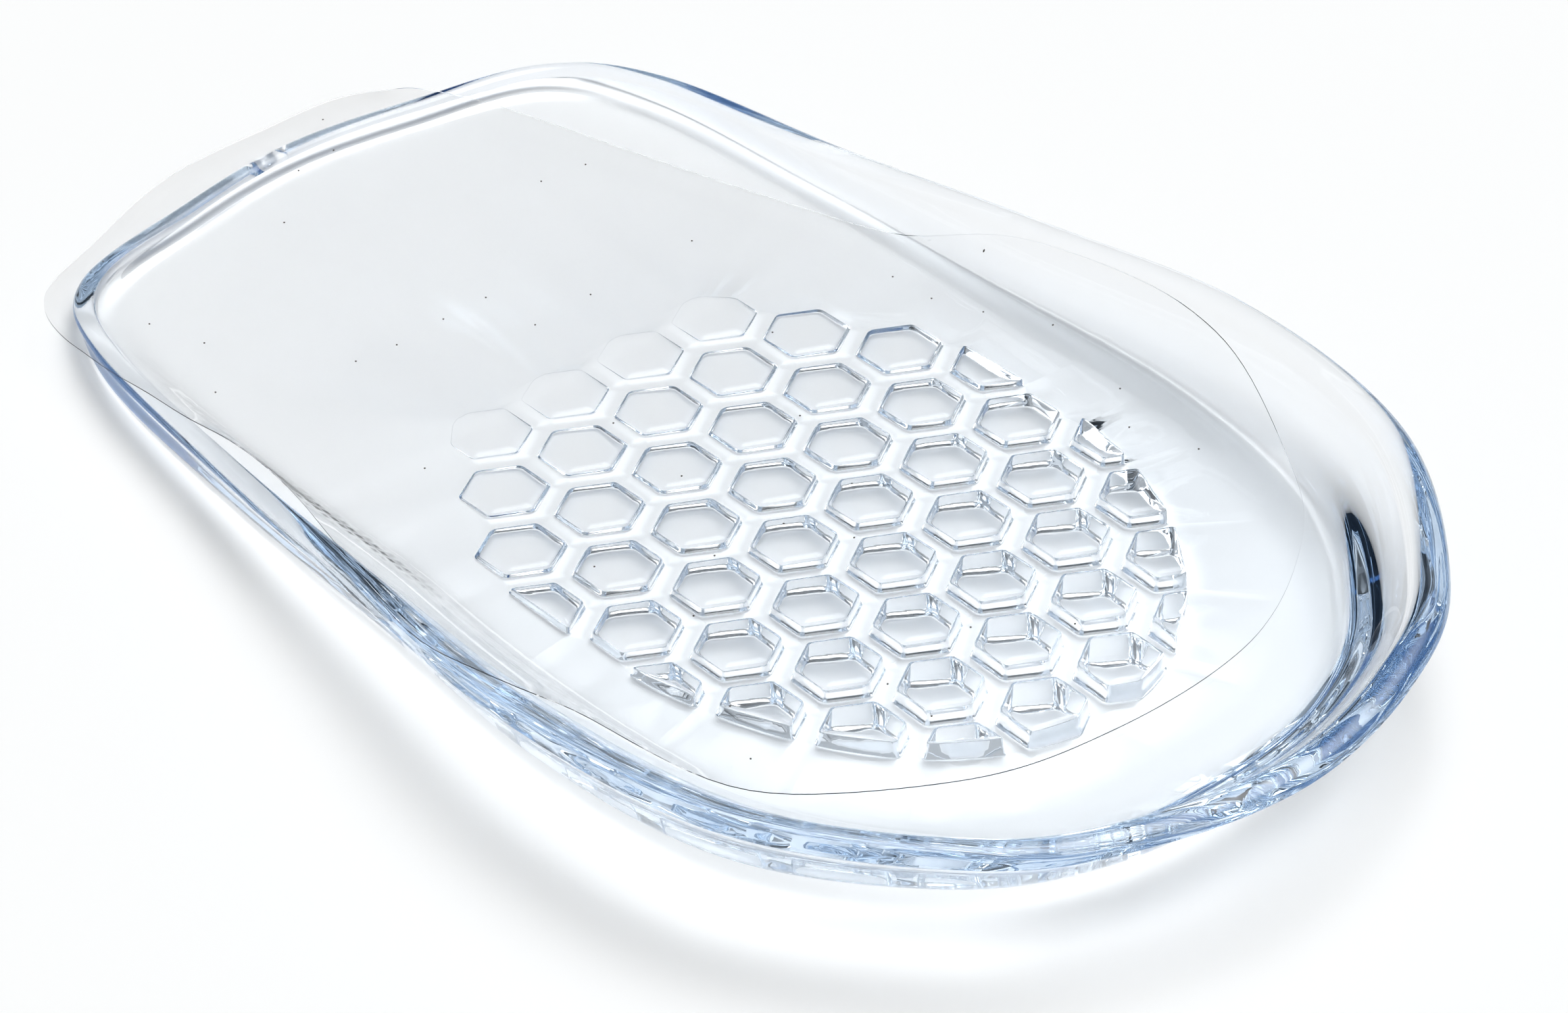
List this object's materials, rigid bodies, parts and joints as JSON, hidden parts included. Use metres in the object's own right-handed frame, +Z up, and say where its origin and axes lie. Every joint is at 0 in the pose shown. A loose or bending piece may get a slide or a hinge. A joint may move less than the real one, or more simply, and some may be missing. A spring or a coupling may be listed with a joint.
{
  "type": "heel cup",
  "caption": "Clear moulded gel heel cup with a raised rim, a honeycomb of air pockets under the heel and a loose clear cover film.",
  "frame": {"origin": "on the floor, under the middle of the whole part's box", "axes": "+X towards the heel, +Y to one side, +Z up out of the cup"},
  "size_m": [0.1116, 0.07, 0.0092],
  "materials": {
    "clear_gel": "glossy",
    "clear_film": "glossy"
  },
  "bodies": {
    "root": {"gel_cup": "clear_gel", "cover_film": "clear_film"}
  },
  "joints": []
}
